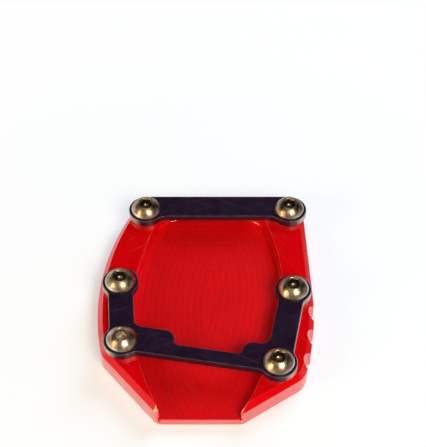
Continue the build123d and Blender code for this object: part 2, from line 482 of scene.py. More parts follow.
# %% Rim of the plate
pocket_round = -9.0
left_nose = corner(left_cut, front_line, *plain_corners[2])
right_nose = corner(front_line, right_cut, *plain_corners[3])
rim_runs = [rear_line, left_flank, left_cut, left_nose[2]]
rim_runs += [pocket_left, pocket_rear, pocket_right, flare_line, curl]
rim_runs += [right_nose[2], right_cut, *flank_runs, right_flank, taper_line]
rim_corners = plain_corners[:2] + [
    (None, left_nose[0]),
    (lip, (-14.8, front + 0.4)),
    (pocket_round, (-8, 30)),
    (pocket_round, (12, 30)),
    (None, flare_start),
    (None, curl_start),
    (lip, (11.5, front + 0.4)),
    (None, right_nose[1]),
]
rim_corners += [plain_corners[4], *flank_corners, plain_corners[5], plain_corners[6]]
rim, rim_lefts, rim_joints = walk(rim_runs, rim_corners)
mouth_ends = (rim_joints[3][0], rim_joints[8][1])
mouth = [int(np.hypot(*(rim - end).T).argmin()) for end in mouth_ends]
print("rim", len(rim), "points, mouth from", rim[mouth[0]], "to", rim[mouth[1]])

# %% [markdown]
# ## The plate as one shell
# Outside, the profile climbs from the underside over a small bevel, up the wall and over a rounded edge
# onto the chamfer. In the pocket it starts on the floor with the fillet that the mill's corner leaves.
# Where the two meet at the mouth the fillet shrinks to nothing, so both strips share their end columns and
# weld. A Bevel modifier can't round an edge whose two faces meet at a changing angle as evenly as this.

# %% Rounded edge all along the rim
edge_reach, probe, lip_share = 0.22, 0.02, 0.8
edge_height = top_height(rim)
slope = (top_height(rim + rim_lefts * probe) - edge_height) / probe
opening = np.pi / 2 + np.arctan(np.clip(slope, -1, 1))
reach = np.minimum(edge_reach / np.tan(opening / 2), lip_share * lip)
edge_rows, edge_worn = rounded_edge(rim, rim_lefts, edge_height, top_height, reach)
# Share of the painted floor reflection in each row of the rounded edge: full on the wall, none on the top.
edge_bare = np.linspace(1, 0, len(edge_worn))
print("edge set back by", reach.min(), "to", reach.max(), "mm")

# %% Outer wall, with a painted reflection of the white floor, stronger on the left
underside_bevel, bevel_worn = 0.25, 0.6
around = np.roll(np.arange(len(rim)), -mouth[1])[: len(rim) - (mouth[1] - mouth[0]) + 1]
outer_rows = [
    lifted((rim + rim_lefts * underside_bevel)[around], 0.0),
    lifted(rim[around], underside_bevel),
    lifted(rim[around], pocket_floor),
    *edge_rows[:, around],
]
# The walls are painted paler, most on the left: a painted reflection of the white floor.
pale_span, pale_shares = [-20, 20], [0.9, 0.45]
paleness = np.interp(rim[around, 0], pale_span, pale_shares)
outer_wall = carried(
    outer_rows,
    closed=False,
    worn=[0, bevel_worn, 0, *edge_worn],
    bare=np.outer([0, 1, 1, *edge_bare], paleness),
)
print("outer wall", len(outer_wall["faces"]), "faces")

# %% Pocket wall with its fillet
into = np.arange(mouth[0], mouth[1] + 1)
along = np.concatenate([[0], np.cumsum(np.hypot(*np.diff(rim[into], axis=0).T))])
end_gap = np.minimum(along, along[-1] - along)
fillet_radius, fillet_run = 0.5, 1.5
fillet = fillet_radius * np.clip((end_gap - 2 * lip) / fillet_run, 0, 1)
fillet_turn = np.linspace(0, np.pi / 2, 5)
fillet_rows = [
    lifted(
        rim[into] - rim_lefts[into] * (fillet * (1 - np.sin(turn)))[:, None],
        pocket_floor + fillet * (1 - np.cos(turn)),
    )
    for turn in fillet_turn
]
pocket_worn = [0] * len(fillet_turn) + [*edge_worn]
pocket_wall = carried([*fillet_rows, *edge_rows[:, into]], closed=False, worn=pocket_worn)
print("pocket wall", len(pocket_wall["faces"]), "faces over", along[-1], "mm")

# %% [markdown]
# ## Sill and flat faces
# The sill is the low wall under the pocket's mouth. It follows both noses and the front edge. The flat
# faces close the shell: the pocket's floor, the underside with a lead-in at each tapped hole, and the top.
# The top isn't quite flat, because the chamfer belongs to it, so it has extra points along the crease. The
# floor has a grid of extra points that carry the distance from the wall, for the mill's passes.

# %% Sill under the mouth
on_nose, on_front = (0.2, np.inf), (0.8, np.inf)
sill_runs = [
    left_nose[2].sample(rim[mouth[0]], left_nose[1], on_nose),
    front_line.sample(left_nose[1], right_nose[0], on_front),
    right_nose[2].sample(right_nose[0], rim[mouth[1]], on_nose),
]
sill, sill_lefts = (np.concatenate([a[:-1], b[:-1], c]) for a, b, c in zip(*sill_runs))
sill_gap = np.minimum(np.hypot(*(sill - sill[0]).T), np.hypot(*(sill - sill[-1]).T))
sill_edge, sill_run = 0.2, 0.8
sill_reach = sill_edge * np.clip((sill_gap - 2.5 * lip) / sill_run, 0, 1)
sill_rows, sill_worn = rounded_edge(sill, sill_lefts, pocket_floor, level(pocket_floor), sill_reach)
sill_low = sill + sill_lefts * underside_bevel
# The sill's wall gets the same painted reflection of the white floor.
sill_paleness = 0.6
sill_wall = carried(
    [lifted(sill_low, 0.0), lifted(sill, underside_bevel), *sill_rows],
    closed=False,
    worn=[0, bevel_worn, *sill_worn],
    bare=sill_paleness * np.array([0, 1, *edge_bare]),
)
print("sill", len(sill), "points")

# %% Pocket floor
floor_grid, floor_margin = 1.1, 0.4
floor_loop = np.concatenate([fillet_rows[0][:, :2], sill_rows[-1][::-1, :2][1:-1]])[::-1]
spread_x, spread_y = np.arange(-26, 28, floor_grid), np.arange(-45, 40, floor_grid)
spread = np.stack(np.meshgrid(spread_x, spread_y), -1).reshape(-1, 2)
spread = spread[inside(spread, floor_loop) & (distance_to(spread, floor_loop) > floor_margin)]
past_mouth = np.array([0, 40])
tool_wall = np.concatenate([[rim[into[0]] - past_mouth], rim[into], [rim[into[-1]] - past_mouth]])


def wall_distance(points):
    """Distance from the pocket's wall, which is taken to run on past the mouth."""
    return distance_to(points, tool_wall)


floor_face = filled(floor_loop, level(pocket_floor), points=spread, cut=wall_distance, finish=1)
print("pocket floor", len(floor_face["faces"]), "faces")

# %% Top, underside and bores
screw_places = np.array(
    [
        [-21.564, 38.8],
        [29.826, 38.8],
        [-29.236, 5.35],
        [-27.483, -19.25],
        [23.76, -28.15],
        [29.803, 2.15],
    ]
)
bore, lead_in = 3.1, 0.5
bores = [ring(place, bore) for place in screw_places]
lead_ins = [ring(place, bore + lead_in) for place in screw_places]
underside_loop = np.concatenate([outer_rows[0][:, :2], sill_low[1:-1]])
underside = filled(underside_loop, level(0.0), lead_ins, down=True, finish=2)

crease_rows = [plain_outline + plain_lefts * (top_chamfer + s * crease) for s in (-1, -0.5, 0, 0.5, 1)]
crease_points = np.concatenate(crease_rows)
top_loop = edge_rows[-1][:, :2]
rim_margin = 0.1
clear_of_rim = distance_to(crease_points, top_loop) > rim_margin
top_face = filled(top_loop, top_height, bores, crease_points[inside(crease_points, top_loop) & clear_of_rim])

bore_walls = [
    carried([lifted(hole, plate_top), lifted(hole, lead_in), lifted(wide, 0.0)], worn=[0, bevel_worn, 0])
    for hole, wide in zip(bores, lead_ins)
]
print("top", len(top_face["faces"]), "faces, underside", len(underside["faces"]))

# %% Weld the plate
plate_patches = [outer_wall, pocket_wall, sill_wall, floor_face, underside, top_face, *bore_walls]
plate = welded("plate", plate_patches, "base_plate")

# %% [markdown]
# ## Clamps
# Both clamps are cut from sheet, tumbled and dyed black, so their edges are softly rounded. Each is a
# closed path with an edge profile, and a flat face above and below with a clearance hole for each screw. A
# flat curve with a bevel would do for the shape, but its vertices couldn't tell the finish which walls face
# outwards, towards the white floor, where the black has gone and a pale painted reflection of that floor is
# laid on.

# %% Clamp builder
clearance_hole = 3.3
bare_from, bare_run = 0.3, 0.4


def clamp(name, path, places, node, edge=0.32, bottom=0.15):
    """Sheet of even thickness inside a path: a wall with a small bevel below and a rounded edge above."""
    points, lefts, _ = path
    rows, worn = rounded_edge(points, lefts, clamp_top, level(clamp_top), np.full(len(points), edge))
    low = points + lefts * bottom
    # Walls that face outwards, towards the white floor, get the pale value: metal without its black, and a
    # painted reflection of the floor.
    outward = -lefts[:, 0] * np.sign(points[:, 0])
    facing = np.clip((outward - bare_from) / bare_run, 0, 1)
    bare = np.outer([0, 1, *np.linspace(1, 0, len(rows))], facing)
    wall_rows = [lifted(low, plate_top), lifted(points, plate_top + bottom), *rows]
    wall = carried(wall_rows, worn=[0, 0, *worn], bare=bare)
    holes = [ring(place, clearance_hole) for place in places]
    faces = [
        filled(rows[-1][:, :2], level(clamp_top), holes),
        filled(low, level(plate_top), holes, down=True),
    ]
    hole_walls = [carried([lifted(h, clamp_top), lifted(h, plate_top)]) for h in holes]
    return welded(name, [wall, *faces, *hole_walls], node)


# %% Rear clamp
rear_left, rear_right, middle_left, front_left, front_right, middle_right = screw_places
lobe, bar_width, bar_fillet = 6.2, 9.6, -5.0
bar_front = rear_left[1] + lobe - bar_width
rear_path = walk(
    [
        Line(rear_right + [0, lobe], rear_left + [0, lobe]),
        Arc(rear_left, lobe),
        Line((rear_left[0], bar_front), (rear_right[0], bar_front)),
        Arc(rear_right, lobe),
    ],
    [
        (None, rear_left + [0, lobe]),
        (bar_fillet, rear_left + [8, -9]),
        (bar_fillet, rear_right + [-8, -9]),
        (None, rear_right + [0, lobe]),
    ],
)
rear_clamp = clamp("rear_clamp_bar", rear_path, [rear_left, rear_right], "rear_clamp")

# %% [markdown]
# ## Front clamp
# The front clamp is a yoke: two arms and a bridge, laid along the lines between four screws that are all at
# different insets. Its path goes once round them, over a lobe at each screw, and dips into a relief in the
# middle of the bridge. Boxes and cylinders could be joined instead, but then every rounded corner would
# have to be found again.

# %% Lines along the arms and the bridge
arm, bridge_front, bridge_rear, relief_depth = 4.25, 3.8, 6.5, 5.3
left_shoulder, right_shoulder = 12.75, 8.15
bridge = Line(front_left, front_right)
bridge_length = np.hypot(*(front_right - front_left))


def beside(start, end, offset):
    """Line along start-end, moved to its right by the offset."""
    run = Line(start, end)
    return Line(start - run.left * offset, end - run.left * offset)


def on_bridge(along, across):
    """Point at a distance along the bridge from the left screw, and across it to the rear."""
    return front_left + bridge.heading * along + bridge.left * across


def off_lobe(centre, run, way, along=6.0, beyond=7.0):
    """Point near the inner corner of a lobe and a line: along it, on (1) or back (-1), and beside it."""
    return centre + way * run.heading * along - run.left * beyond


print("bridge", bridge_length, "mm between its screws")


# %% Runs round the yoke
relief_start = arm + left_shoulder
relief_end = bridge_length - arm - right_shoulder
relief_floor = bridge_rear - relief_depth
rear_edge = beside(front_right, front_left, bridge_rear)
left_out, left_in = beside(middle_left, front_left, arm), beside(front_left, middle_left, arm)
right_out, right_in = beside(front_right, middle_right, arm), beside(middle_right, front_right, arm)
front_edge = beside(front_left, front_right, bridge_front)
yoke_runs = [
    Arc(middle_left, lobe),
    left_out,
    Arc(front_left, lobe),
    front_edge,
    Arc(front_right, lobe),
    right_out,
    Arc(middle_right, lobe),
    right_in,
    rear_edge,
    Line(on_bridge(relief_end, bridge_rear), on_bridge(relief_end, 0)),
    Line(on_bridge(relief_end, relief_floor), on_bridge(relief_start, relief_floor)),
    Line(on_bridge(relief_start, 0), on_bridge(relief_start, bridge_rear)),
    rear_edge,
    left_in,
]
print("relief from", relief_start, "to", relief_end, "mm along the bridge")

# %% Corners of the yoke
yoke_fillet, relief_round, relief_fillet = -3.0, 3.6, -1.6
yoke_corners = [
    (yoke_fillet, off_lobe(middle_left, left_out, 1)),
    (yoke_fillet, off_lobe(front_left, left_out, -1)),
    (yoke_fillet, off_lobe(front_left, front_edge, 1)),
    (yoke_fillet, off_lobe(front_right, front_edge, -1)),
    (yoke_fillet, off_lobe(front_right, right_out, 1)),
    (yoke_fillet, off_lobe(middle_right, right_out, -1)),
    (yoke_fillet, off_lobe(middle_right, right_in, 1)),
    (yoke_fillet, on_bridge(bridge_length - 8, 10)),
    (relief_round, on_bridge(relief_end + 3, 3)),
    (relief_fillet, on_bridge(relief_end - 2, 3)),
    (relief_fillet, on_bridge(relief_start + 2, 3)),
    (relief_round, on_bridge(relief_start - 3, 3)),
    (yoke_fillet, on_bridge(8, 10)),
    (yoke_fillet, off_lobe(middle_left, left_in, -1)),
]
yoke_path = walk(yoke_runs, yoke_corners, spacing=(0.7, np.inf))
print("yoke path", len(yoke_path[0]), yoke_path[0].min(0), yoke_path[0].max(0))
yoke_places = [middle_left, front_left, front_right, middle_right]
front_clamp = clamp("front_clamp_yoke", yoke_path, yoke_places, "front_clamp")

# %% [markdown]
# ## Button-head screws
# A button head is turned, then drilled, and its hexagon socket is pressed in. That leaves a cone at the
# socket's mouth and a drill point in its floor. The whole screw is one grid: rows follow its outline from
# the tip, up the thread, round the head and down into the socket, and columns go once round. The socket's
# rows use the radius of a hexagon, and the thread's rows shift with the angle, which makes the helix.
# Boolean cuts would leave long thin faces there.

# %% Head and shank
head_radius, shank_radius, head_edge = 5.25, 3.0, 0.5


def revolve(outline, columns):
    """Rows of an outline of (radius, height) points, the same at every angle."""
    return np.repeat(np.array(outline, float)[:, None], columns, 1)


def dome_arc(height, crown=2.66, radius=6.0, count=17):
    """Points of the dome's circle, which passes through the head's edge and its crown and bulges outwards."""
    ends = np.array([[head_radius, head_edge], [crown, height - 0.03]])
    chord = ends[1] - ends[0]
    half = np.hypot(*chord) / 2
    inward = np.array([-chord[1], chord[0]]) / (2 * half)
    centre = ends.mean(0) + inward * np.sqrt(radius**2 - half**2)
    first, last = np.arctan2(*(ends - centre).T[::-1])
    sweep = np.linspace(first, last, count)
    return centre + radius * np.stack([np.cos(sweep), np.sin(sweep)], 1)


print("dome from", dome_arc(head_top - clamp_top)[0], "to", dome_arc(head_top - clamp_top)[-1])


# %% Thread
def thread_rows(angle, low, high, count=90, pitch=1.0, crest=2.97, root=2.45, run_in=0.8):
    """Rows of a thread: the radius is a trapezium of height between root and crest, shifted by the angle."""
    climb = np.linspace(low, high, count)[:, None]
    phase = (climb / pitch - angle / (2 * np.pi)) % 1.0
    ridge = np.clip(1.25 - 2.5 * np.abs(phase - 0.5), 0, 1)
    radius = root + (crest - root) * ridge * np.clip((climb - low) / run_in, 0, 1)
    return np.stack([radius, np.broadcast_to(climb, radius.shape)], -1)


# %% Hexagon socket
socket_width = 3.9
# Darkening of each socket row, from the mouth down to the drill point: dirt and painted shade, most on the
# hexagon's walls.
socket_grime = [0.2, 0.5, 0.6, 1, 1, 0.8, 0.2, 0.2]
socket_dust = [0, 0, 0.1, 0.15, 0.8, 1, 1, 1]


def hexagon(angle, half_width):
    """Radius of a hexagon at an angle: half its width over the cosine of the angle from a flat's middle."""
    sector = (angle + np.pi / 6) % (np.pi / 3) - np.pi / 6
    return half_width / np.cos(sector)


def socket_rows(angle, height, across=socket_width, entry=2.52, depth=1.75, drill=1.15, point=0.98):
    """Rows of the socket: an entry cone cut by a hexagonal prism, a flat floor and a drill's point."""
    wall = hexagon(angle, across / 2)
    cone = height - (entry - wall) * 0.9
    floor = height - depth
    radii = [entry + 0.03, entry - 0.01, wall, wall - 0.03, wall - 0.03, drill + 0.05, drill - 0.05, 0.0]
    heights = [height, height - 0.03, cone, cone - 0.1, floor, floor, floor - 0.08, floor - point]
    pairs = [[np.broadcast_to(v, angle.shape) for v in pair] for pair in zip(radii, heights)]
    return np.moveaxis(np.array(pairs), 1, -1)


print("socket", 2 * hexagon(np.pi / 6, socket_width / 2), "mm across its corners")


# %% Grid of one screw
rim_peak, rim_fade = 1.3, 0.7


def screw_grid(columns=72):
    """One screw with the underside of its head at height 0: rows x columns x 3, and values for each row.

    The values are the distance along the outline, the dirt and painted shade, the dust and how far the head's
    rim is rubbed.
    """
    angle = np.linspace(0, 2 * np.pi, columns, endpoint=False)
    length, height = clamp_top - shank_end, head_top - clamp_top
    tip = [(0.0, -length), (2.0, -length), (2.35, -length + 0.15)]
    neck = [(2.6, -1.1), (shank_radius, -0.8), (shank_radius, -0.02)]
    rim_round = [(4.95, 0.0), (5.15, 0.06), (5.23, 0.16), (head_radius, 0.3), (head_radius, head_edge)]
    crown = [(2.62, height - 0.01), (2.58, height)]
    dome, socket = dome_arc(height), socket_rows(angle, height)
    head = revolve([*neck, *rim_round, *dome, *crown], columns)
    rows = np.concatenate([revolve(tip, columns), thread_rows(angle, -length + 0.6, -1.2), head, socket])
    grid = np.stack([rows[..., 0] * np.cos(angle), rows[..., 0] * np.sin(angle), rows[..., 1]], -1)
    travel = np.concatenate([[0], np.cumsum(np.hypot(*np.diff(rows[:, 0], axis=0).T))])
    grime, dust = np.zeros((2, len(rows)))
    grime[-len(socket) :], dust[-len(socket) :] = socket_grime, socket_dust
    rim_gap = np.abs(travel - travel[len(rows) - len(socket) - len(crown) - len(dome)])
    return grid, travel, grime, dust, np.clip(rim_peak - rim_gap / rim_fade, 0, 1)


one, travel, grime, dust, rim_worn = screw_grid()
print("one screw", one.shape, "with an outline of", travel[-1], "mm")

# %% [markdown]
# ## Six screws
# All six are the same, so one grid is turned and placed six times by one product of arrays. Each is turned
# its own way, as a spanner leaves it. Their rims are rubbed bright, mostly on the side that faces outwards,
# towards the white floor, where the brightness is also a painted reflection of that floor. One socket has
# dust on its floor. Linked copies would be lighter, but then all six would have to look alike.

# %% Screws, each turned its own way
turns = np.radians([24, 8, 28, 20, 6, 14])
dusty = np.array([0, 0, 0, 1, 0, 0])
cosine, sine = np.cos(turns), np.sin(turns)
spin = np.stack([np.stack([cosine, -sine], 1), np.stack([sine, cosine], 1)], 1)
middles = screw_places[:, None, None]
plan = np.einsum("sij,rcj->srci", spin, one[..., :2]) + middles
tall = np.broadcast_to(one[..., 2:] + clamp_top, (*plan.shape[:3], 1))
six = np.concatenate([plan, tall], -1)
# The rim's brightness is kept mostly to the side that faces outwards, towards the white floor: wear, and a
# painted reflection of the floor.
outward = (plan[..., 0] - middles[..., 0]) * np.sign(middles[..., 0]) / head_radius
rim_side_from, rim_side_run, least_rim_side = 0.05, 0.5, 0.1
rim_wear_and_sheen = rim_worn[:, None] * np.clip((outward - rim_side_from) / rim_side_run, least_rim_side, 1)
screw_patches = [
    carried(rows, worn=rubbed, cut=travel, grime=grime, dust=share * dust)
    for rows, rubbed, share in zip(six, rim_wear_and_sheen, dusty)
]
screws = welded("button_head_screws", screw_patches, "clamp_screws", crisp=38)

# %% [markdown]
# ## Finishes
# Each finish is a small node tree round one Principled shader. Noise on Object coordinates gives colour,
# roughness and grain at the real scale, and the values that the vertices carry say where edges are rubbed
# and tools have passed. An image texture could hold all of this too, but it would need a file and an
# unwrapped mesh.


# %% Nodes and vertex values
def add(tree, kind, inputs=(), **options):
    """Node of one kind. inputs maps sockets to values or to outputs to link, options are its settings."""
    made = tree.nodes.new("ShaderNode" + kind)
    for option, value in options.items():
        setattr(made, option, value)
    for socket, value in dict(inputs).items():
        if isinstance(value, bpy.types.NodeSocket):
            tree.links.new(value, made.inputs[socket])
        else:
            made.inputs[socket].default_value = value
    return made


def value_of(tree, name):
    """A value that the vertices carry."""
    return add(tree, "Attribute", attribute_name=name).outputs["Fac"]


# %% Sums, ramps and blends
def maths(tree, operation, first, second=0.0):
    """One arithmetic step."""
    return add(tree, "Math", {0: first, 1: second}, operation=operation).outputs[0]


def times(tree, first, second):
    """Product of two numbers."""
    return maths(tree, "MULTIPLY", first, second)


def value_times(tree, name, factor):
    """A value that the vertices carry, times a factor."""
    return times(tree, value_of(tree, name), factor)


def ramp(tree, value, low, high, start=0.0, end=1.0):
    """Value mapped in a straight line from low..high to start..end, and held beyond."""
    sockets = {"Value": value, "From Min": low, "From Max": high, "To Min": start, "To Max": end}
    return add(tree, "MapRange", sockets, clamp=True).outputs["Result"]


def blended(tree, share, first, second):
    """Colour between two colours, by a share from 0 to 1."""
    mix = add(tree, "Mix", data_type="RGBA")
    for socket, value in ((mix.inputs[0], share), (mix.inputs[6], first), (mix.inputs[7], second)):
        if isinstance(value, bpy.types.NodeSocket):
            tree.links.new(value, socket)
        else:
            socket.default_value = (*value, 1)
    return mix.outputs[2]


def layered(tree, colour, *layers):
    """Colour with others laid over it in turn. Each layer is its share and its colour."""
    for share, over in layers:
        colour = blended(tree, share, colour, over)
    return colour


# %% Noise, bumps and scratches
def noise(tree, size, detail=3.0, stretch=(1, 1, 1), turn=0.0, shift=0.0):
    """Noise whose lumps are about the given size in metres, longer along an axis with a stretch above 1."""
    place = add(tree, "TexCoord").outputs["Object"]
    moved = {0: place, "Rotation": (0, 0, turn), "Location": (shift, shift, shift)}
    turned = add(tree, "Mapping", moved, vector_type="POINT").outputs[0]
    scaled = add(tree, "Mapping", {0: turned, "Scale": tuple(1 / (size * k) for k in stretch)}).outputs[0]
    return add(tree, "TexNoise", {"Vector": scaled, "Scale": 1.0, "Detail": detail}).outputs["Fac"]


def bumped(tree, height, depth, before=None):
    """Normal bent by a height from 0 to 1, of the given depth in metres, after another bump."""
    sockets = {"Height": height, "Distance": depth, "Strength": 1.0}
    if before is not None:
        sockets["Normal"] = before
    return add(tree, "Bump", sockets).outputs["Normal"]


def scratches(tree, width=0.0004, turns=(0.5, -0.35), rare=0.70):
    """Fine lines in several directions: the highest crests of noise that is stretched along one axis."""
    lines = [noise(tree, width, 1.0, (60, 1, 1), turn, 0.03 * k) for k, turn in enumerate(turns)]
    crests = [ramp(tree, line, rare, rare + 0.06) for line in lines]
    found = crests[0]
    for more in crests[1:]:
        found = maths(tree, "MAXIMUM", found, more)
    return found


# %% Material from its parts
def finish(name, colour, roughness, normal, metal=None, **constants):
    """Material: functions of its tree give what varies, and constants are set on the shader itself."""
    material = bpy.data.materials.new(name)
    material.use_nodes = True
    tree = material.node_tree
    shader = tree.nodes["Principled BSDF"]
    varies = {"Base Color": colour, "Roughness": roughness, "Normal": normal, "Metallic": metal}
    for socket, made in varies.items():
        if made is not None:
            tree.links.new(made(tree), shader.inputs[socket])
    for socket, value in constants.items():
        shader.inputs[socket.replace("_", " ")].default_value = value
    print(name, len(tree.nodes), "nodes")
    return material


# %% [markdown]
# ## Red anodising
# The plate is milled, blasted and dyed, so the red is deep and even, with a fine grain, and goes paler
# where hands and boots rub the edges. The clear oxide on top reflects more than paint does, which turns the
# walls salmon where they mirror a white floor: that is the coat, with a high index. The walls also get a
# pale painted reflection of the white floor, most on the left. The pocket keeps the mill's passes, in steps
# from its wall. One Metallic shader would be simpler, but then the flat top would be black wherever the
# room is dark.

# %% Mill marks
pass_width = 2.2


def mill_marks(tree):
    """Height of the mill's passes: a zigzag of the distance from the pocket's wall, on its floor alone."""
    cut = value_of(tree, "cut")
    teeth = maths(tree, "PINGPONG", maths(tree, "DIVIDE", cut, pass_width), 0.5)
    return times(tree, teeth, ramp(tree, cut, 0.2, 0.6, 0.0, 2.0))


# %% Red colour
def red_colour(tree):
    """Deep red with clouds, lay, nicks, hairlines, rubbed edges, and walls painted with a floor reflection.
    """
    clouds = ramp(tree, noise(tree, 0.014, 4.0), 0.3, 0.7)
    grain = ramp(tree, noise(tree, 0.0005, 2.0), 0.35, 0.65, 0.0, 0.25)
    lay = ramp(tree, noise(tree, 0.0004, 3.0, (1, 50, 1), 0.15), 0.42, 0.72, 0.0, 0.4)
    nicks = ramp(tree, noise(tree, 0.0007, 1.0, shift=0.06), 0.76, 0.82, 0.0, 0.45)
    hairlines = times(tree, scratches(tree, 0.0003, (0.9, -0.5), 0.73), 0.22)
    furrow = ramp(tree, mill_marks(tree), 0.0, 1.0, 0.0, 0.24)
    reflected = ramp(tree, noise(tree, 0.004, 4.0), 0.3, 0.7, 0.35, 0.55)
    rubbed = ramp(tree, noise(tree, 0.003), 0.4, 0.75, 0.05, 0.45)
    return layered(
        tree,
        blended(tree, clouds, (0.75, 0.0, 0.002), (0.88, 0.0, 0.003)),
        (grain, (0.60, 0.0, 0.004)),
        (lay, (0.56, 0.0, 0.003)),
        (nicks, (0.85, 0.32, 0.27)),
        (hairlines, (0.88, 0.22, 0.18)),
        (furrow, (0.45, 0.0, 0.003)),
        # painted reflection of the white floor on the walls, broken up by noise
        (value_times(tree, "bare", reflected), (0.70, 0.33, 0.28)),
        (value_times(tree, "worn", rubbed), (0.86, 0.24, 0.20)),
    )


# %% Red surface
def red_roughness(tree):
    """Satin, with duller clouds and glossier edges."""
    clouds = ramp(tree, noise(tree, 0.009, 5.0, shift=0.05), 0.3, 0.7, 0.34, 0.46)
    return maths(tree, "SUBTRACT", clouds, value_times(tree, "worn", 0.08))


def red_normal(tree):
    """Blasted grain over the mill's passes."""
    grain = bumped(tree, noise(tree, 0.00035, 2.0), 0.000006)
    return bumped(tree, mill_marks(tree), 0.00004, grain)


dyed_metal = dict(Metallic=0.15, Specular_IOR_Level=0.0)
red_parts = (red_colour, red_roughness, red_normal)
clear_oxide = dict(Coat_Weight=1.0, Coat_IOR=1.95, Coat_Roughness=0.085)
red = finish("red_anodised_finish", *red_parts, **dyed_metal, **clear_oxide)

# %% [markdown]
# ## Milled floor and scuffed underside
# Two faces of the plate have the same red with another surface. The pocket's floor is as the mill left it,
# so it is rough and mirrors little. The underside stands on the ground, so it is scratched through to the
# metal, and dirty. Both are further materials on the same mesh, and each face says which one it takes.
# Separate pieces would leave a seam.

# %% Milled and scuffed finishes
milled_oxide = dict(Coat_Weight=1.0, Coat_IOR=1.5, Coat_Roughness=0.40)
milled_red = finish("red_milled_finish", *red_parts, **dyed_metal, **milled_oxide)


def scuffs(tree):
    """Scratches in four directions."""
    return scratches(tree, 0.0005, (0.4, -0.9, 1.5, 2.3), 0.67)


def scuffed_colour(tree):
    """Red that the ground has scratched through to grey metal, with dirt in soft patches."""
    dirt = ramp(tree, noise(tree, 0.011, 5.0, shift=0.07), 0.5, 0.75, 0.0, 0.45)
    soiled = blended(tree, dirt, red_colour(tree), (0.20, 0.13, 0.10))
    return blended(tree, times(tree, scuffs(tree), 0.6), soiled, (0.60, 0.50, 0.48))


def scuffed_roughness(tree):
    """Dull, and brighter in the scratches."""
    return maths(tree, "SUBTRACT", red_roughness(tree), times(tree, scuffs(tree), 0.15))


def scuffed_normal(tree):
    """Blasted grain with scratches cut into it."""
    return bumped(tree, maths(tree, "SUBTRACT", 1.0, scuffs(tree)), 0.00002, red_normal(tree))


scuffed_parts = (scuffed_colour, scuffed_roughness, scuffed_normal)
scuffed_oxide = dict(Coat_Weight=0.6, Coat_IOR=1.6, Coat_Roughness=0.35)
scuffed_red = finish("red_scuffed_finish", *scuffed_parts, **dyed_metal, **scuffed_oxide)
for layer in (red, milled_red, scuffed_red):
    plate.data.materials.append(layer)

# %% [markdown]
# ## Black anodising
# The clamps are black with a violet cast, as dyed aluminium often is. They show mottling, dust and fine
# scratches, and a thin paler line along their rounded edges. The flat tops mirror the dim upper room and
# look almost black, so the gloss has to come from the shader and not from a painted grey. The walls that
# face outwards, towards the white floor, have lost their black. They get a plain pale grey, a painted
# reflection of that floor, because a mirror of metal would only show the red plate below.


# %% Black finish
def bare_walls(tree):
    """Share of pale outer wall, metal and a painted floor reflection, broken up by thin black clouds."""
    return value_times(tree, "bare", ramp(tree, noise(tree, 0.0025, 4.0), 0.3, 0.6, 0.65, 1.0))


def black_colour(tree):
    """Violet black, mottled, with pale specks, scratches, lavender edges, and grey outer walls: a painted
    floor reflection.
    """
    mottle = ramp(tree, noise(tree, 0.0016, 5.0), 0.3, 0.7)
    specks = ramp(tree, noise(tree, 0.0006, 1.0, shift=0.02), 0.74, 0.80, 0.0, 0.5)
    rubbed = ramp(tree, noise(tree, 0.002), 0.35, 0.7, 0.1, 0.7)
    return layered(
        tree,
        blended(tree, mottle, (0.0070, 0.0016, 0.0100), (0.0170, 0.0048, 0.0215)),
        (specks, (0.17, 0.13, 0.18)),
        (times(tree, scratches(tree), 0.25), (0.15, 0.11, 0.16)),
        (value_times(tree, "worn", rubbed), (0.11, 0.09, 0.13)),
        # pale grey outer walls: metal without its black, and a painted reflection of the white floor
        (bare_walls(tree), (0.52, 0.47, 0.45)),
    )


def black_roughness(tree):
    """Satin, duller in clouds, glossier on the rubbed edges."""
    clouds = ramp(tree, noise(tree, 0.004, 4.0), 0.3, 0.7, 0.30, 0.44)
    return maths(tree, "SUBTRACT", clouds, value_times(tree, "worn", 0.10))


def black_normal(tree):
    """Fine grain with scratches cut into it."""
    grain = bumped(tree, noise(tree, 0.0004, 2.0), 0.000006)
    return bumped(tree, maths(tree, "SUBTRACT", 1.0, scratches(tree)), 0.000008, grain)


black = finish("black_anodised_finish", black_colour, black_roughness, black_normal, IOR=1.52)
rear_clamp.data.materials.append(black)
front_clamp.data.materials.append(black)

# %% [markdown]
# ## Screw steel
# The heads have been on the road: the steel is warm and brownish, with faint turning rings, stains, and dirt
# and painted shade in the sockets. The rims are painted brighter on the side towards the white floor, partly
# wear and partly a painted reflection. The rings follow the distance along the turned outline, which every
# vertex carries, so they stay centred on each screw. A ring texture would need six centres. Dust isn't metal,
# so the shader turns plain and dull under it.

# %% Turning rings
ring_pitch = 0.16


def turning_rings(tree):
    """Height of the lathe's rings: a wave of the distance along the outline, broken up by noise."""
    wave = maths(tree, "SINE", value_times(tree, "cut", 2 * np.pi / ring_pitch))
    return times(tree, wave, ramp(tree, noise(tree, 0.002), 0.35, 0.65, 0.1, 0.5))


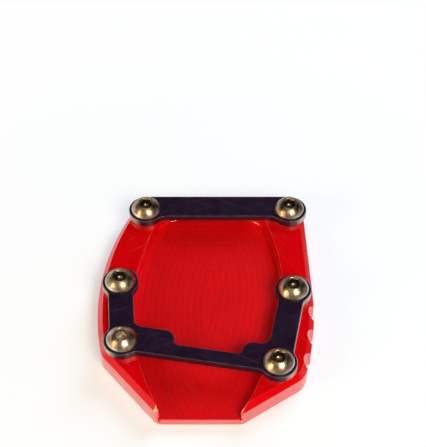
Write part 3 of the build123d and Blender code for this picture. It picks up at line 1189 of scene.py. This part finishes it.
# %% Steel colour
def steel_colour(tree):
    """Warm grey steel, brown stains, tan dust, rims bright with wear and painted reflection, dirt and painted
    shade in sockets.
    """
    stain = ramp(tree, noise(tree, 0.0022, 5.0), 0.38, 0.66)
    fleck = ramp(tree, noise(tree, 0.0006, 2.0, shift=0.04), 0.62, 0.72, 0.0, 0.6)
    lumps = ramp(tree, noise(tree, 0.0006, 3.0), 0.40, 0.60)
    return layered(
        tree,
        blended(tree, stain, (0.56, 0.43, 0.315), (0.295, 0.21, 0.132)),
        (fleck, (0.11, 0.08, 0.045)),
        # bright rims: rubbed steel, and on the side towards the white floor a painted reflection
        (value_times(tree, "worn", 0.9), (0.86, 0.82, 0.76)),
        # dark sockets: dirt and painted shade in the recess
        (value_times(tree, "grime", 0.9), (0.03, 0.022, 0.015)),
        (value_times(tree, "dust", 0.95), blended(tree, lumps, (0.12, 0.088, 0.052), (0.66, 0.53, 0.36))),
    )


# %% Steel surface
def steel_roughness(tree):
    """Polished, duller in stains, dull in the sockets and under dust."""
    clouds = ramp(tree, noise(tree, 0.0018, 4.0), 0.35, 0.7, 0.24, 0.36)
    sooty = maths(tree, "ADD", clouds, value_times(tree, "grime", 0.2))
    return maths(tree, "ADD", sooty, value_times(tree, "dust", 0.3))


def steel_normal(tree):
    """Turning rings with small dents."""
    dents = bumped(tree, noise(tree, 0.0008, 4.0), 0.00003)
    return bumped(tree, turning_rings(tree), 0.000004, dents)


def steel_metal(tree):
    """Metal everywhere but under the dust."""
    return maths(tree, "SUBTRACT", 1.0, value_of(tree, "dust"))


steel = finish("stainless_finish", steel_colour, steel_roughness, steel_normal, steel_metal)
screws.data.materials.append(steel)

# %% [markdown]
# ## Floor
# A product photo on white: a pale floor that runs out of sight. A floor lit to white would need light that
# washes out the object. So rays from the camera see part of it as plain white, more of it further away, and
# the rest keeps the soft shadow. Reflections see a white pool near the object, which turns the plate's
# walls salmon. Further off they see a dark floor, except on the left, because a white one would turn the
# whole right chamfer pink.

# %% Floor mesh
floor_half, floor_height = 3.0, -5e-5
signs = ((-1, -1), (1, -1), (1, 1), (-1, 1))
floor_corners = [(x * floor_half, y * floor_half, floor_height) for x, y in signs]
floor_mesh = bpy.data.meshes.new("floor")
floor_mesh.from_pydata(floor_corners, [], [(0, 1, 2, 3)])
floor = bpy.data.objects.new("floor", floor_mesh)
bpy.context.scene.collection.objects.link(floor)
print("floor", 2 * floor_half, "m square")

# %% Floor finish
halo, white_shares = (0.05, 0.14), (0.45, 0.92)
pool, pool_share = (0.065, 0.11), 0.55
dark_from = (-0.08, -0.03)


def floor_shares(tree):
    """Shares of plain white and of dark floor, by the kind of ray and by the distance from the object."""
    rays = add(tree, "LightPath").outputs
    place = add(tree, "TexCoord").outputs["Object"]
    away = add(tree, "VectorMath", {0: place}, operation="LENGTH").outputs["Value"]
    seen = times(tree, rays["Is Camera Ray"], ramp(tree, away, *halo, *white_shares))
    mirrored = maths(tree, "MAXIMUM", rays["Is Glossy Ray"], rays["Is Transmission Ray"])
    near = times(tree, mirrored, ramp(tree, away, *pool, 1.0, 0.0))
    white = maths(tree, "MAXIMUM", seen, times(tree, near, pool_share))
    off_left = ramp(tree, add(tree, "SeparateXYZ", {0: place}).outputs["X"], *dark_from)
    dark = times(tree, times(tree, mirrored, off_left), ramp(tree, away, *pool))
    return white, dark


pale_floor = bpy.data.materials.new("white_floor")
pale_floor.use_nodes = True
tree = pale_floor.node_tree
tree.nodes.remove(tree.nodes["Principled BSDF"])
white, dark = floor_shares(tree)
lit = add(tree, "BsdfDiffuse", {"Color": blended(tree, dark, (0.93, 0.93, 0.95), (0.10, 0.10, 0.10))})
glow = add(tree, "Emission", {"Color": (1, 1, 1, 1), "Strength": 1.0})
both = add(tree, "MixShader", {0: white, 1: lit.outputs[0], 2: glow.outputs[0]})
tree.links.new(both.outputs[0], tree.nodes["Material Output"].inputs["Surface"])
floor.data.materials.append(pale_floor)
print("floor finish", len(tree.nodes), "nodes")

# %% [markdown]
# ## Camera
# The picture looks down on the plate from the front, along +Y. A pinhole camera was fitted to the six
# heads, and that gives a focal length in pixels. Blender's sensor width goes with the picture's longer
# side, which is its height here, so the lens is that length over the height, times the sensor. Moving a
# camera by eye gets close, but no head would sit on its pixel.

# %% Camera
target = np.array([2.45, 31.85, 10.5]) * MM
elevation = np.radians(48.4)
distance = 0.445
lens_pixels, picture_height, sensor = 1250.0, 447.0, 36.0
camera_data = bpy.data.cameras.new("camera")
camera_data.sensor_width = sensor
camera_data.lens = lens_pixels / picture_height * sensor
camera_data.clip_start = 0.01
camera = bpy.data.objects.new("camera", camera_data)
camera.location = target + distance * np.array([0, -np.cos(elevation), np.sin(elevation)])
camera.rotation_euler = (np.pi / 2 - elevation, 0, 0)
bpy.context.scene.collection.objects.link(camera)
bpy.context.scene.camera = camera
print("lens", camera_data.lens, "mm at", tuple(camera.location))

# %% [markdown]
# ## Lamps
# A round head mirrors every lamp as a bright spot, so the spots tell where the lamps stood: a key light in
# front on the right, and a warm one low on the left. A cool window behind on the right lights the floor
# too. It can't reach the shadow in front, so that turns warm, and it is kept out of reflections. One large
# lamp would be softer, but each head would have a single spot.


# %% Three softboxes
def softbox(name, place, size, power, colour):
    """Square area lamp that faces the middle of the plate."""
    lamp_data = bpy.data.lights.new(name, "AREA")
    lamp_data.size = size
    lamp_data.energy = power
    lamp_data.color = colour
    lamp = bpy.data.objects.new(name, lamp_data)
    lamp.location = place
    lamp.rotation_euler = (-Vector(place)).to_track_quat("-Z", "Y").to_euler()
    bpy.context.scene.collection.objects.link(lamp)
    print(name, power, "W")
    return lamp


softbox("key_light", (0.374, -0.671, 0.781), 0.42, 8.9, (1.0, 0.89, 0.70))
softbox("warm_light", (-0.78, -0.46, 0.41), 0.42, 3.9, (1.0, 0.73, 0.33))
window = softbox("window_light", (0.55, 0.80, 0.65), 0.60, 13.0, (0.46, 0.69, 0.94))
window.visible_glossy = False

# %% [markdown]
# ## Sky
# The sky is what glossy faces mirror, so it is drawn as a dim room: pale walls low down, a dark upper part
# behind, which the flat tops mirror, and a weak ceiling in front for the heads. A plain white sky would
# turn the red top pink and the black clamps grey. The camera itself sees white.

# %% Sky
world = bpy.data.worlds.new("studio")
bpy.context.scene.world = world
world.use_nodes = True
tree = world.node_tree
axes = add(tree, "SeparateXYZ", {0: add(tree, "TexCoord").outputs["Generated"]}).outputs
low = ramp(tree, axes["Z"], 0.0, 0.38, 1.0, 0.0)
middle = ramp(tree, maths(tree, "ABSOLUTE", axes["X"]), 0.45, 0.75, 1.0, 0.05)
rearward = ramp(tree, axes["Y"], 0.2, 0.5)
forward = ramp(tree, axes["Y"], 0.1, 0.45, 1.0, 0.0)
left_wall = ramp(tree, axes["X"], -0.6, -0.2, 1.3, 0.06)
right_wall = times(tree, ramp(tree, axes["X"], 0.2, 0.6, 0.0, 0.8), forward)
rear_wall = times(tree, times(tree, middle, rearward), 0.8)
walls = maths(tree, "MAXIMUM", maths(tree, "MAXIMUM", left_wall, right_wall), rear_wall)
rear_upper = times(tree, rearward, ramp(tree, axes["Z"], 0.46, 0.62, 0.32, 0.008))
front_ceiling = ramp(tree, axes["Y"], -0.1, 0.3, 0.25, 0.0)
ceiling = times(tree, middle, maths(tree, "MAXIMUM", rear_upper, front_ceiling))
room = maths(tree, "MAXIMUM", times(tree, low, walls), ceiling)
to_camera = add(tree, "LightPath").outputs["Is Camera Ray"]
strength = add(tree, "Mix", {0: to_camera, 2: room, 3: 1.0}, data_type="FLOAT").outputs[0]
tree.links.new(strength, tree.nodes["Background"].inputs["Strength"])
tree.nodes["Background"].inputs["Color"].default_value = (1, 1, 1, 1)
bpy.context.scene.view_settings.view_transform = "Standard"
print("sky", len(tree.nodes), "nodes")

bpy.context.view_layer.update()
